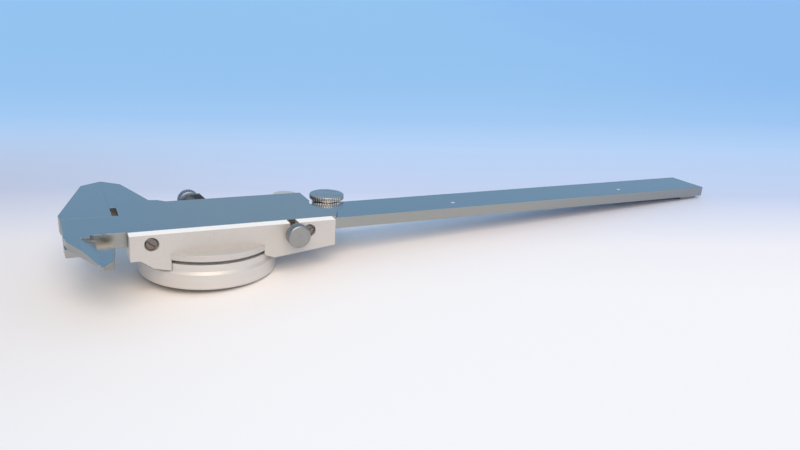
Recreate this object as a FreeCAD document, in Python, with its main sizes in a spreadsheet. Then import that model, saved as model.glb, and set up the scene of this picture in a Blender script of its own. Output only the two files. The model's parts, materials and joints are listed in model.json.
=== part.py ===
import FreeCAD, Part
import math
import os
import re
import Sketcher

# Dial caliper, 150 mm reach, lying on its dial. Millimetres. X runs along the beam away from the jaws, with
# 0 at the faces that meet when the jaws are closed. Y is 0 on the beam's centreline and grows towards the
# tips of the outside jaws. Z is 0 on the flush back of the slider and the fixed jaw, and the dial faces down.
# Names that end in _z are heights below the back, so they are negative.
SIZES = {
    # beam and fixed jaw
    "beam_width": 16.0,
    "beam_back_z": -1.0,
    "beam_face_z": -4.5,
    "beam_end": 222.6,
    "head_left": 13.4,
    "head_lean_far": 0.6,
    "head_lean_lap": 0.25,
    "head_lean_near": 0.2,
    "jaw_reach": 46.2,
    "jaw_shoulder": 42.1,
    "fixed_shoulder_x": 6.3,
    "fixed_root_y": 10.9,
    "tip_flat": 0.5,
    "tip_depth": 14.0,
    "tip_thick": 1.6,
    "head_near_y": 12.2,
    "head_toe_x": 9.6,
    "head_toe_slant": 2.6,
    "measuring_gap": 0.02,
    # inside blades, which cross one above the other
    "blade_x": 5.8,
    "blade_reach": 27.6,
    "blade_split_z": -2.1,
    "blade_bottom_z": -4.4,
    "blade_gap": 0.1,
    "blade_root_y": 10.3,
    "blade_edge": 0.5,
    "blade_grind_x": 9.4,
    "blade_heel_x": 0.9,
    "blade_heel_slant": 0.3,
    "blade_shoulder": 0.6,
    "blade_notch": 1.2,
    "blade_corner_x": 2.6,
    "blade_corner_y": 24.0,
    "blade_facet_y": 12.9,
    "blade_relief_z": -3.6,
    # rack
    "groove_width": 7.2,
    "groove_floor_z": -2.7,
    "rack_start": 16.0,
    "rack_end": 206.0,
    "rack_end_gap": 1.0,
    "rack_back": 2.5,
    "rack_thick": 1.6,
    "rack_pitch": 1.0,
    "pin_radius": 0.75,
    "pin_first": 33.5,
    "pin_spacing": 74.7,
    # stop at the beam's end
    "stop_length": 8.0,
    "stop_width": 13.0,
    "stop_thick": 1.2,
    "stop_setback": 1.8,
    "stop_screw_spacing": 7.0,
    # sliding jaw
    "plate_thick": 0.95,
    "run_gap": 0.03,
    "slider_start": 2.4,
    "slider_end": 61.2,
    "slider_far_y": 18.4,
    "lap_y": 7.0,
    "plate_inset": 0.1,
    "wall_gap": 0.3,
    "relief_width": 1.8,
    "relief_top_y": 15.0,
    "sliding_shoulder_x": 5.7,
    "sliding_shoulder_y": 41.7,
    "sliding_root_x": 11.9,
    "sliding_root_y": 21.0,
    "root_slant_x": 14.5,
    "root_slant_y": 20.4,
    "root_end_x": 16.6,
    "guide_end_gap": 1.0,
    "lip_width": 0.5,
    "ear_end": 65.6,
    "ear_near_y": 3.0,
    "ear_slant": 1.4,
    "ear_cut_radius": 7.8,
    "ear_cut_inset": 2.0,
    "ear_cut_y": 5.0,
    # housing
    "wall_thick": 3.6,
    "deck_top_z": -4.55,
    "deck_bottom_z": -7.3,
    "dial_x": 26.06,
    "dial_y": 2.34,
    "case_radius": 20.0,
    "case_top_z": -5.8,
    "case_bottom_z": -7.65,
    "wall_bottom_z": -8.0,
    "spigot_radius": 17.0,
    "spigot_bottom_z": -11.6,
    "cavity_radius": 15.3,
    "cavity_floor_z": -6.1,
    "tab_left_end": 13.2,
    "tab_right_start": 39.3,
    "tab_drop": 3.25,
    "tab_left_slant": 2.7,
    "tab_left_low": 5.9,
    "tab_left_drop": 2.1,
    "tab_right_slant": 3.0,
    "tab_right_drop": 1.35,
    "tab_right_low": 2.55,
    "window_gap": 0.25,
    "notch_width": 2.7,
    "notch_depth": 2.2,
    "lobe_x": 56.2,
    "lobe_offset": 3.2,
    "lobe_radius": 4.1,
    "lobe_top_z": -1.2,
    "corner_screw_inset": 4.2,
    "corner_screw_rise": 1.0,
    "far_screw_offset": 1.2,
    "inner_screw_offset": 6.0,
    "screw_row_y": 13.2,
    # gib and its screws
    "gib_thick": 0.85,
    "gib_clear": 0.12,
    "gib_inset": 1.0,
    "gib_side_gap": 0.1,
    "gib_screw_left": 8.1,
    "gib_screw_right": 52.9,
    "gib_screw_radius": 1.1,
    "gib_bore_radius": 1.95,
    "gib_bore_depth": 1.4,
    "gib_head_radius": 1.65,
    "gib_head_length": 0.9,
    "lock_x": 48.3,
    "lock_head_radius": 3.4,
    "lock_head_length": 3.2,
    "lock_neck_length": 1.9,
    "lock_neck_radius": 1.9,
    "lock_neck_gap": 0.1,
    "rim_chamfer": 0.3,
    # movement
    "rack_teeth": 12,
    "drive_teeth": 60,
    "centre_teeth": 25,
    "gear_module": 0.2,
    "gear_thick": 0.5,
    "gear_gap": 0.5,
    "gear_step": 0.7,
    "gear_side": 0.2,
    "pinion_thick": 1.4,
    "pinion_gap": 0.2,
    "centre_thick": 1.6,
    "end_play": 0.05,
    "arbor_radius": 0.6,
    "pivot_radius": 0.4,
    "bush_radius": 1.3,
    "plate_top_z": -9.0,
    "bridge_thick": 0.9,
    "bridge_radius": 14.9,
    "bridge_window_near": 3.5,
    "bridge_window_far": 7.5,
    "bridge_window_narrow": 2.5,
    "bridge_window_wide": 4.0,
    "post_radius": 1.2,
    "post_circle": 12.6,
    "post_angle": 25.0,
    "plate_screw_radius": 0.6,
    "plate_screw_head": 0.5,
    "plate_screw_reach": 1.4,
    "spring_turns": 5.0,
    "spring_inner": 0.9,
    "spring_outer": 4.6,
    "spring_wire": 0.12,
    "spring_tall": 0.5,
    "spring_lift": 0.15,
    "stud_radius": 0.3,
    "fit": 0.03,
    # bezel, dial, crystal and pointer
    "bezel_radius": 20.2,
    "bezel_neck_radius": 19.5,
    "bezel_top_z": -8.8,
    "bezel_neck_z": -10.8,
    "bezel_flare": 0.7,
    "bezel_edge": 0.5,
    "bezel_bottom_z": -16.07,
    "bezel_run": 0.1,
    "dial_radius": 17.8,
    "dial_top_z": -12.0,
    "dial_thick": 0.4,
    "crystal_radius": 18.25,
    "crystal_top_z": -14.9,
    "crystal_thick": 0.8,
    "snap_thick": 0.5,
    "snap_z": -10.3,
    "snap_play": 0.1,
    "snap_opening": 4.0,
    "pointer_length": 14.6,
    "pointer_tail": 4.4,
    "pointer_root": 0.45,
    "pointer_point": 0.12,
    "pointer_hub": 1.2,
    "pointer_end": 0.3,
    "pointer_thick": 0.2,
    "pointer_z": -13.2,
    # bezel clamp
    "clamp_x": 24.8,
    "clamp_knob_radius": 3.4,
    "clamp_knob_length": 3.5,
    "clamp_stud_radius": 1.0,
    "clamp_stud_depth": 4.0,
    "clamp_plate_thick": 1.0,
    "clamp_plate_top_z": 0.5,
    "clamp_left": 2.6,
    "clamp_right": 5.0,
    "clamp_boss_radius": 2.1,
    "clamp_gap": 0.06,
    "clamp_corner": 1.9,
    "clamp_foot_z": -10.4,
    "clamp_foot_left": 1.0,
    "clamp_foot_right": 3.0,
    "clamp_foot_gap": 0.2,
    # thumb roller
    "roller_x": 67.85,
    "roller_radius": 5.75,
    "roller_top_z": 0.6,
    "roller_under_z": -0.9,
    "drum_radius": 4.93,
    "drum_gap": 0.05,
    "axle_radius": 1.0,
    "axle_cap": 1.0,
    "clip_thick": 0.5,
    "clip_depth": 0.2,
    "lug_radius": 5.0,
    "lug_top_z": -4.7,
    "lug_bottom_z": -8.0,
    "lug_gap": 0.1,
    # small screws
    "screw_radius": 1.0,
    "screw_head_radius": 1.8,
    "screw_head_height": 1.1,
    "screw_reach": 2.6,
    "screw_clear": 0.2,
    # how far a prism reaches into its neighbour, or a cut beyond the face that it opens
    "join": 1.0,
}

# Tooth proportions: depth and height in modules, widths in pitches, the same for the rack and the gears.
TOOTH_DEPTH = 1.2
TOOTH_HEIGHT = 0.85
ROOT_SHARE = 0.31
TIP_SHARE = 0.13

# Places that follow from the sizes: the wall, the rack's pitch line, and the axes of gears and roller.
rack_module = SIZES["rack_pitch"] / math.pi
rack_root_y = -SIZES["groove_width"] / 2 + SIZES["rack_back"]
rack_pitch_y = rack_root_y + TOOTH_DEPTH * rack_module
pinion_y = rack_pitch_y + rack_module * SIZES["rack_teeth"] / 2
gear_distance = SIZES["gear_module"] * (SIZES["drive_teeth"] + SIZES["centre_teeth"]) / 2
pinion_x = SIZES["dial_x"] + math.sqrt(gear_distance ** 2 - (SIZES["dial_y"] - pinion_y) ** 2)
wall_far_y = SIZES["beam_width"] / 2 + SIZES["run_gap"] + SIZES["gib_thick"] + SIZES["gib_clear"]
PLACES = {
    "wall_far_y": wall_far_y,
    "wall_near_y": wall_far_y + SIZES["wall_thick"],
    "pinion_x": pinion_x,
    "pinion_y": pinion_y,
    "backlash_x": SIZES["dial_x"] - gear_distance,
    "roller_y": SIZES["beam_width"] / 2 + SIZES["drum_gap"] + SIZES["drum_radius"],
    "lobe_y": SIZES["slider_far_y"] + SIZES["lobe_offset"],
    "clamp_y": SIZES["dial_y"] + SIZES["case_radius"] + SIZES["clamp_gap"],
    "post_side_x": SIZES["post_circle"] * math.sin(math.radians(SIZES["post_angle"])),
    "post_side_y": SIZES["post_circle"] * math.cos(math.radians(SIZES["post_angle"])),
}

doc = FreeCAD.newDocument("dial_caliper")
sheet = doc.addObject("Spreadsheet::Sheet", "sizes")
rows = {**SIZES, **PLACES}
for row, (alias, number) in enumerate(rows.items(), start=1):
    sheet.set(f"A{row}", alias)
    sheet.set(f"B{row}", str(number))
    sheet.setAlias(f"B{row}", alias)
doc.recompute()
pieces = {}


def formula(text):
    """Names the sheet in front of each of its sizes."""
    return re.sub(r"[a-z][a-z_]+", lambda word: "sizes." + word[0] if word[0] in rows else word[0], text)


def new_body(name, label=None):
    body = doc.addObject("PartDesign::Body", name)
    body.Label = label or name
    if label is None:
        pieces[name] = body
    return body


def sketch(body, role="XY_Plane", height="0"):
    """An empty sketch on one of the body's planes, moved to a place along the axis across that plane."""
    page = body.newObject("Sketcher::SketchObject", body.Name + "_sketch")
    plane = next(feature for feature in body.Origin.OriginFeatures if feature.Role == role)
    page.AttachmentSupport = (plane, [""])
    page.MapMode = "FlatFace"
    sign = "-" if role == "XZ_Plane" else ""
    page.setExpression(".AttachmentOffset.Base.z", formula(f"{sign}({height})"))
    return page


def bound(page, constraint, text):
    index = page.addConstraint(constraint)
    page.setExpression(f"Constraints[{index}]", formula(text))


def outline(page, corners):
    """A closed outline whose corners are pairs of formulas, drawn first as a regular polygon."""
    count = len(corners)
    turns = [2 * math.pi * i / count for i in range(count)]
    seed = [FreeCAD.Vector(math.cos(turn), math.sin(turn), 0) for turn in turns]
    first = page.GeometryCount
    for i in range(count):
        page.addGeometry(Part.LineSegment(seed[i], seed[(i + 1) % count]), False)
    for i, (across, along) in enumerate(corners):
        page.addConstraint(Sketcher.Constraint("Coincident", first + i, 2, first + (i + 1) % count, 1))
        bound(page, Sketcher.Constraint("DistanceX", -1, 1, first + i, 1, seed[i].x), across)
        bound(page, Sketcher.Constraint("DistanceY", -1, 1, first + i, 1, seed[i].y), along)


def circle(page, across, along, radius):
    ring = page.addGeometry(Part.Circle(FreeCAD.Vector(1, 1, 0), FreeCAD.Vector(0, 0, 1), 1), False)
    bound(page, Sketcher.Constraint("DistanceX", -1, 1, ring, 3, 1.0), across)
    bound(page, Sketcher.Constraint("DistanceY", -1, 1, ring, 3, 1.0), along)
    bound(page, Sketcher.Constraint("Radius", ring, 1.0), radius)


def draw(page, shape):
    """Draws a circle from a tuple of three formulas, circles from a list of them, or an outline."""
    if isinstance(shape, tuple):
        circle(page, *shape)
    elif len(shape[0]) == 3:
        for ring in shape:
            circle(page, *ring)
    else:
        outline(page, shape)


def grow(body, shape, bottom, top, role="XY_Plane"):
    """Adds a prism between two heights, or between two places along Y on XZ_Plane or along X on YZ_Plane."""
    page = sketch(body, role, top if role == "XZ_Plane" else bottom)
    draw(page, shape)
    pad = body.newObject("PartDesign::Pad", body.Name + "_pad")
    pad.Profile = page
    pad.setExpression("Length", formula(f"({top}) - ({bottom})"))
    doc.recompute()


def cut(body, shape, bottom, top, role="XY_Plane"):
    """Takes away a prism, placed as in grow, and makes sure that it cut."""
    before = body.Shape.Volume
    page = sketch(body, role, bottom if role == "XZ_Plane" else top)
    draw(page, shape)
    pocket = body.newObject("PartDesign::Pocket", body.Name + "_pocket")
    pocket.Profile = page
    pocket.setExpression("Length", formula(f"({top}) - ({bottom})"))
    doc.recompute()
    if not body.Shape.Volume < before:
        raise RuntimeError(f"a pocket in {body.Label} removed nothing")


def turned(name, profile, x, y, z, along_y=False, label=None):
    """A turned piece whose profile gives radius and height, standing on its axis at x, y, z."""
    body = new_body(name, label)
    page = sketch(body, "XZ_Plane")
    outline(page, profile)
    turn = body.newObject("PartDesign::Revolution", name + "_turn")
    turn.Profile = page
    turn.ReferenceAxis = (page, ["V_Axis"])
    turn.Angle = 360
    if along_y:
        body.Placement.Rotation = FreeCAD.Rotation(FreeCAD.Vector(1, 0, 0), -90)
    for axis, text in zip("xyz", (x, y, z)):
        body.setExpression(f"Placement.Base.{axis}", formula(text))
    doc.recompute()
    return body


def repeated(name, profile, places, along_y=False):
    """Identical turned pieces that share one node."""
    copies = [turned(f"{name}_{i}", profile, *place, along_y=along_y, label=f"{name} {i}")
              for i, place in enumerate(places, start=1)]
    group = doc.addObject("Part::Compound", name)
    group.Links = copies
    pieces[name] = group


def box_corners(left, near, right, far):
    return [(left, near), (right, near), (right, far), (left, far)]


def value(alias):
    return float(sheet.get(alias))


def solid_piece(name, shape, place):
    """A piece whose outline follows a rule, such as gear teeth, which no sketch tool draws."""
    piece = doc.addObject("Part::Feature", name)
    piece.Label = name
    piece.Shape = shape
    piece.Placement = FreeCAD.Placement(place, FreeCAD.Rotation())
    pieces[name] = piece


# Beam with the fixed jaw. The slider's plate laps over its head, so the head's back is as low as the beam's.
beam = new_body("beam")
grow(beam, box_corners("-head_left", "-beam_width / 2", "beam_end", "beam_width / 2"),
     "beam_face_z", "beam_back_z")
grow(beam, [
    ("-measuring_gap / 2", "lap_y + run_gap"),
    ("-measuring_gap / 2", "jaw_reach"),
    ("-measuring_gap / 2 - tip_flat", "jaw_reach"),
    ("-fixed_shoulder_x", "jaw_shoulder"),
    ("-head_left - head_lean_far", "fixed_root_y"),
    ("-head_left - head_lean_lap", "lap_y + run_gap"),
], "beam_face_z", "0")
grow(beam, [
    ("-head_left", "-beam_width / 2 + join"),
    ("-head_left + head_lean_near", "-head_near_y"),
    ("-head_toe_x", "-head_near_y"),
    ("-head_toe_x + head_toe_slant", "-beam_width / 2"),
    ("-measuring_gap / 2", "-beam_width / 2"),
    ("-measuring_gap / 2", "-beam_width / 2 + join"),
], "beam_face_z", "blade_split_z - blade_gap / 2")
grow(beam, [
    ("-blade_x", "-beam_width / 2 + join"),
    ("-blade_x", "-blade_reach"),
    ("-blade_x + tip_flat", "-blade_reach"),
    ("-blade_corner_x", "-blade_corner_y"),
    ("-blade_heel_x - blade_heel_slant", "-blade_facet_y"),
    ("-blade_heel_x", "-beam_width / 2 + join"),
], "blade_bottom_z", "blade_split_z - blade_gap / 2")
cut(beam, [
    ("-blade_x", "blade_split_z - blade_gap / 2 - blade_edge"),
    ("-blade_corner_x", "blade_bottom_z"),
    ("-blade_corner_x", "blade_bottom_z - join"),
    ("-blade_x", "blade_bottom_z - join"),
], "-blade_reach", "-blade_facet_y", "XZ_Plane")
cut(beam, box_corners("-blade_x", "-blade_facet_y", "-blade_heel_x / 2", "-beam_width / 2"),
    "blade_relief_z", "blade_split_z")
tip_taper = [
    ("jaw_reach - tip_depth", "beam_face_z - join"),
    ("jaw_reach - tip_depth", "beam_face_z"),
    ("jaw_reach + join", "-tip_thick"),
    ("jaw_reach + join", "beam_face_z - join"),
]
cut(beam, tip_taper, "-head_left", "join", "YZ_Plane")
cut(beam, box_corners("rack_start - rack_end_gap", "-groove_width / 2", "rack_end + rack_end_gap",
                      "groove_width / 2"), "beam_face_z", "groove_floor_z")
for step in range(3):
    cut(beam, (f"pin_first + {step} * pin_spacing", "-groove_width / 2 + rack_back / 2", "pin_radius"),
        "groove_floor_z", "beam_back_z")
for side in ("-", ""):
    cut(beam, ("beam_end - stop_setback - stop_length / 2", f"{side}stop_screw_spacing / 2", "screw_radius"),
        "beam_face_z", "beam_face_z + screw_reach")


def gear_shape(module, teeth, thick, bore, lean):
    """A spur gear with straight flanks, a tooth centred at the angle lean, and its bottom at height 0."""
    root_radius = module * (teeth / 2 - TOOTH_DEPTH)
    tip_radius = module * (teeth / 2 + TOOTH_HEIGHT)
    flanks = ((root_radius, -ROOT_SHARE), (tip_radius, -TIP_SHARE), (tip_radius, TIP_SHARE),
              (root_radius, ROOT_SHARE))
    step = 2 * math.pi / teeth
    corners = []
    for i in range(teeth):
        for radius, share in flanks:
            angle = lean + (i + share) * step
            corners.append(FreeCAD.Vector(radius * math.cos(angle), radius * math.sin(angle), 0))
    rim = Part.Face(Part.makePolygon(corners + corners[:1]))
    gear = rim.extrude(FreeCAD.Vector(0, 0, thick))
    return gear.cut(Part.makeCylinder(bore, thick)) if bore else gear


def rack_shape():
    """The rack's strip, with teeth that point to +Y and a gap over the pinion's axis."""
    pitch, thick = value("rack_pitch"), value("rack_thick")
    low_y = -value("groove_width") / 2
    tip_y = rack_pitch_y + TOOTH_HEIGHT * rack_module
    first = math.ceil((value("rack_start") - pinion_x) / pitch)
    last = math.floor((value("rack_end") - pinion_x) / pitch)
    corners = [(value("rack_end"), rack_root_y), (value("rack_end"), low_y),
               (value("rack_start"), low_y), (value("rack_start"), rack_root_y)]
    for i in range(first, last):
        middle = pinion_x + (i + 0.5) * pitch
        corners += [(middle - ROOT_SHARE * pitch, rack_root_y), (middle - TIP_SHARE * pitch, tip_y),
                    (middle + TIP_SHARE * pitch, tip_y), (middle + ROOT_SHARE * pitch, rack_root_y)]
    points = [FreeCAD.Vector(x, y, 0) for x, y in corners]
    strip = Part.Face(Part.makePolygon(points + points[:1])).extrude(FreeCAD.Vector(0, 0, thick))
    pin_y = low_y + value("rack_back") / 2
    for i in range(3):
        place = FreeCAD.Vector(value("pin_first") + i * value("pin_spacing"), pin_y, 0)
        strip = strip.cut(Part.makeCylinder(value("pin_radius"), thick, place))
    return strip


# Rack in the groove on the beam's face side, and the pins that hold it.
solid_piece("rack", rack_shape(), FreeCAD.Vector(0, 0, value("groove_floor_z") - value("rack_thick")))
pin_length = "beam_back_z - groove_floor_z + rack_thick"
repeated("rack_pins", [("0", "0"), ("pin_radius", "0"), ("pin_radius", pin_length), ("0", pin_length)],
         [(f"pin_first + {i} * pin_spacing", "-groove_width / 2 + rack_back / 2",
           "groove_floor_z - rack_thick") for i in range(3)])

# Stop plate and its screws on the face side of the beam's end.
stop_x = "beam_end - stop_setback - stop_length / 2"
stop_screw_length = "stop_thick + screw_reach - screw_clear"
end_stop = new_body("end_stop")
grow(end_stop, box_corners("beam_end - stop_setback - stop_length", "-stop_width / 2",
                           "beam_end - stop_setback", "stop_width / 2"),
     "beam_face_z - stop_thick", "beam_face_z")
for side in ("-", ""):
    cut(end_stop, (stop_x, f"{side}stop_screw_spacing / 2", "screw_radius"), "beam_face_z - stop_thick",
        "beam_face_z")
    cut(end_stop, (stop_x, f"{side}stop_screw_spacing / 2", "screw_head_radius + fit"),
        "beam_face_z - stop_thick", "beam_face_z - stop_thick / 2")
repeated("end_stop_screws", [
    ("0", "0"), ("screw_head_radius", "0"), ("screw_head_radius", "stop_thick / 2"),
    ("screw_radius", "stop_thick / 2"), ("screw_radius", stop_screw_length), ("0", stop_screw_length)],
    [(stop_x, f"{side}stop_screw_spacing / 2", "beam_face_z - stop_thick") for side in ("-", "")])

# Sliding jaw: one steel piece with the back plate, the guide along the beam's far edge, and both jaws.
sliding_jaw = new_body("sliding_jaw")
grow(sliding_jaw, [
    ("-head_left", "lap_y"),
    ("measuring_gap / 2", "lap_y"),
    ("relief_width", "lap_y"),
    ("relief_width", "beam_width / 2 + join"),
    ("ear_end", "beam_width / 2 + join"),
    ("ear_end", "-ear_near_y"),
    ("slider_end + ear_slant", "-wall_far_y + run_gap"),
    ("slider_start", "-wall_far_y + run_gap"),
    ("slider_start", "-beam_width / 2 - lip_width"),
    ("-head_left + plate_inset", "-beam_width / 2 - lip_width"),
], "-plate_thick", "0")
grow(sliding_jaw, [
    ("relief_width", "beam_width / 2 + run_gap"),
    ("relief_width", "relief_top_y"),
    ("measuring_gap / 2", "relief_top_y"),
    ("measuring_gap / 2", "jaw_reach"),
    ("measuring_gap / 2 + tip_flat", "jaw_reach"),
    ("sliding_shoulder_x", "sliding_shoulder_y"),
    ("sliding_root_x", "sliding_root_y"),
    ("root_slant_x", "root_slant_y"),
    ("root_end_x", "slider_far_y"),
    ("slider_end - guide_end_gap", "slider_far_y"),
    ("slider_end - guide_end_gap", "beam_width / 2 + run_gap"),
], "beam_face_z", "0")
grow(sliding_jaw, box_corners("-head_left + plate_inset", "-beam_width / 2 - lip_width",
                              "slider_start - wall_gap", "-beam_width / 2 - run_gap"),
     "blade_split_z + blade_gap / 2", "0")
grow(sliding_jaw, [
    ("-head_left + plate_inset", "-beam_width / 2 - lip_width"),
    ("-head_left + blade_shoulder", "-head_near_y"),
    ("-blade_x - tip_flat", "-blade_reach"),
    ("-blade_x", "-blade_reach"),
    ("-blade_x", "-blade_root_y"),
    ("-blade_x - blade_notch", "-blade_root_y"),
    ("-blade_x - blade_notch", "-beam_width / 2 - lip_width"),
], "blade_split_z + blade_gap / 2", "0")
cut(sliding_jaw, [
    ("-blade_grind_x", "0"),
    ("-blade_x", "blade_split_z + blade_gap / 2 + blade_edge"),
    ("-blade_x + join", "0"),
], "-blade_reach", "-blade_root_y", "XZ_Plane")
cut(sliding_jaw, tip_taper, "-join", "head_left", "YZ_Plane")
cut(sliding_jaw, ("slider_end - ear_cut_inset + ear_cut_radius", "ear_cut_y", "ear_cut_radius"),
    "-plate_thick", "0")

housing_screw_places = [
    ("slider_start + corner_screw_inset", "screw_row_y + corner_screw_rise"),
    ("dial_x - inner_screw_offset", "screw_row_y"),
    ("dial_x + inner_screw_offset", "screw_row_y"),
    ("lock_x + far_screw_offset", "screw_row_y + corner_screw_rise"),
]
for x, y in housing_screw_places:
    cut(sliding_jaw, (x, y, "screw_radius"), "beam_face_z", "beam_face_z + screw_reach")
cut(sliding_jaw, ("clamp_x", "beam_face_z / 2", "clamp_stud_radius + fit"),
    "slider_far_y - clamp_stud_depth - screw_clear", "slider_far_y", "XZ_Plane")

# Housing: a wall along the beam's near edge, a deck between the beam and the dial, and the round case.
# The bezel's neck shows through the window between the wall's two tabs.
snap_low = "snap_z - snap_thick / 2"
snap_high = "snap_z + snap_thick / 2"
housing = new_body("housing")
grow(housing, [
    ("slider_start", "0"),
    ("slider_start", "deck_bottom_z"),
    ("slider_start + tab_left_slant", "deck_bottom_z"),
    ("slider_start + tab_left_low", "case_bottom_z - tab_left_drop"),
    ("tab_left_end", "case_bottom_z - tab_drop"),
    ("tab_left_end", "case_bottom_z"),
    ("tab_right_start", "case_bottom_z"),
    ("tab_right_start", "case_bottom_z - tab_right_drop"),
    ("tab_right_start + tab_right_slant", "case_bottom_z - tab_right_low"),
    ("slider_end", "wall_bottom_z"),
    ("slider_end", "0"),
], "-wall_near_y", "-wall_far_y", "XZ_Plane")
grow(housing, box_corners("slider_start", "-wall_near_y + join", "slider_end", "slider_far_y"),
     "deck_bottom_z", "deck_top_z")
grow(housing, ("dial_x", "dial_y", "case_radius"), "case_bottom_z", "case_top_z")
cut(housing, ("dial_x", "dial_y", "bezel_neck_radius + window_gap"), "case_bottom_z - tab_drop - join",
    "case_bottom_z")
grow(housing, ("dial_x", "dial_y", "spigot_radius"), "spigot_bottom_z", "case_bottom_z")
cut(housing, [("dial_x", "dial_y", "spigot_radius + join"),
              ("dial_x", "dial_y", "spigot_radius - snap_thick")],
    snap_low + " - fit", snap_high + " + fit")
cut(housing, ("dial_x", "dial_y", "cavity_radius"), "spigot_bottom_z", "cavity_floor_z")
grow(housing, ("lobe_x", "lobe_y", "lobe_radius"), "lug_bottom_z", "lobe_top_z")
cut(housing, box_corners("lobe_x - lobe_radius - join", "lobe_y - lobe_radius - join",
                         "lobe_x + lobe_radius + join", "slider_far_y + run_gap"), "deck_top_z", "0")
grow(housing, [
    ("lobe_x", "beam_width / 2 + join"),
    ("roller_x", "roller_y - lug_radius"),
    ("roller_x", "roller_y + lug_radius"),
    ("lobe_x", "lobe_y"),
], "lug_bottom_z", "lug_top_z")
grow(housing, ("roller_x", "roller_y", "lug_radius"), "lug_bottom_z", "lug_top_z")
cut(housing, ("roller_x", "roller_y", "axle_radius"), "lug_bottom_z", "lug_top_z")
for x, y in housing_screw_places:
    cut(housing, (x, y, "screw_radius"), "cavity_floor_z", "deck_top_z")
for x, y in (housing_screw_places[0], housing_screw_places[-1]):
    cut(housing, (x, y, "screw_head_radius + fit"), "lug_bottom_z", "cavity_floor_z")
for x, y in (("pinion_x", "pinion_y"), ("dial_x", "dial_y"), ("backlash_x", "dial_y")):
    cut(housing, (x, y, "bush_radius"), "cavity_floor_z", "deck_top_z")
beam_middle_z = "(beam_back_z + beam_face_z) / 2"
for x in ("gib_screw_left", "gib_screw_right"):
    cut(housing, (x, beam_middle_z, "gib_bore_radius"), "-wall_near_y", "-wall_near_y + gib_bore_depth",
        "XZ_Plane")
    cut(housing, (x, beam_middle_z, "gib_screw_radius"), "-wall_near_y", "-wall_far_y", "XZ_Plane")
cut(housing, ("lock_x", beam_middle_z, "gib_screw_radius + fit"), "-wall_near_y", "-wall_far_y", "XZ_Plane")
cut(housing, box_corners("lock_x - notch_width / 2", "-wall_near_y",
                         "lock_x + notch_width / 2", "-wall_far_y"), "-notch_depth", "0")
housing_screw_length = "screw_head_height + beam_face_z + screw_reach - cavity_floor_z - screw_clear"
repeated("housing_screws", [
    ("0", "0"), ("screw_head_radius", "0"), ("screw_head_radius", "screw_head_height"),
    ("screw_radius", "screw_head_height"), ("screw_radius", housing_screw_length),
    ("0", housing_screw_length)],
    [(x, y, "cavity_floor_z - screw_head_height") for x, y in housing_screw_places])

# Gib strip between the wall and the beam's near edge, its two screws, and the screw that locks the slider.
gib = new_body("gib")
grow(gib, box_corners("slider_start + gib_inset", "-beam_width / 2 - run_gap - gib_thick",
                      "slider_end - gib_inset", "-beam_width / 2 - run_gap"),
     "beam_face_z + gib_side_gap", "beam_back_z - gib_side_gap")
gib_reach = "wall_near_y - gib_bore_depth + gib_head_length - beam_width / 2 - run_gap - gib_thick"
repeated("gib_screws", [
    ("0", "0"), ("gib_head_radius", "0"), ("gib_head_radius", "gib_head_length"),
    ("gib_screw_radius", "gib_head_length"), ("gib_screw_radius", gib_reach), ("0", gib_reach)],
    [(x, "-wall_near_y + gib_bore_depth - gib_head_length", beam_middle_z)
     for x in ("gib_screw_left", "gib_screw_right")], along_y=True)
lock_under = "lock_head_length + lock_neck_length"
lock_reach = lock_under + " + wall_near_y - beam_width / 2 - run_gap - gib_thick - 2 * fit"
turned("lock_screw", [
    ("0", "0"), ("lock_head_radius - rim_chamfer", "0"), ("lock_head_radius", "rim_chamfer"),
    ("lock_head_radius", "lock_head_length - rim_chamfer"),
    ("lock_head_radius - rim_chamfer", "lock_head_length"),
    ("lock_neck_radius", "lock_head_length"), ("lock_neck_radius", lock_under + " - lock_neck_gap"),
    ("gib_screw_radius", lock_under + " - lock_neck_gap"), ("gib_screw_radius", lock_reach),
    ("0", lock_reach)],
    "lock_x", "-wall_near_y - lock_neck_length - lock_head_length", beam_middle_z, along_y=True)

# Movement: bushes in the deck, posts and a bridge plate, and the gear train between them.
bush_height = "deck_top_z - cavity_floor_z"
repeated("arbor_bushes", [("arbor_radius + fit", "0"), ("bush_radius", "0"), ("bush_radius", bush_height),
                          ("arbor_radius + fit", bush_height)],
         [("pinion_x", "pinion_y", "cavity_floor_z"), ("dial_x", "dial_y", "cavity_floor_z"),
          ("backlash_x", "dial_y", "cavity_floor_z")])
post_places = [("dial_x", "dial_y + post_circle"), ("dial_x - post_side_x", "dial_y - post_side_y"),
               ("dial_x + post_side_x", "dial_y - post_side_y")]
post_height = "cavity_floor_z - plate_top_z"
repeated("bridge_posts", [("plate_screw_radius", "0"), ("post_radius", "0"), ("post_radius", post_height),
                          ("plate_screw_radius", post_height)],
         [(x, y, "plate_top_z") for x, y in post_places])
bridge = new_body("bridge_plate")
grow(bridge, ("dial_x", "dial_y", "bridge_radius"), "plate_top_z - bridge_thick", "plate_top_z")
for x, y in post_places:
    cut(bridge, (x, y, "plate_screw_radius"), "plate_top_z - bridge_thick", "plate_top_z")
for x, y in (("pinion_x", "pinion_y"), ("dial_x", "dial_y"), ("backlash_x", "dial_y")):
    cut(bridge, (x, y, "pivot_radius + fit"), "plate_top_z - bridge_thick", "plate_top_z")
for side in "-+":
    cut(bridge, [
        ("dial_x + bridge_window_wide", f"dial_y {side} bridge_window_far"),
        ("dial_x - bridge_window_wide", f"dial_y {side} bridge_window_far"),
        ("dial_x - bridge_window_narrow", f"dial_y {side} bridge_window_near"),
        ("dial_x + bridge_window_narrow", f"dial_y {side} bridge_window_near"),
    ], "plate_top_z - bridge_thick", "plate_top_z")
plate_screw_length = "plate_screw_head + bridge_thick + plate_screw_reach"
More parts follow.
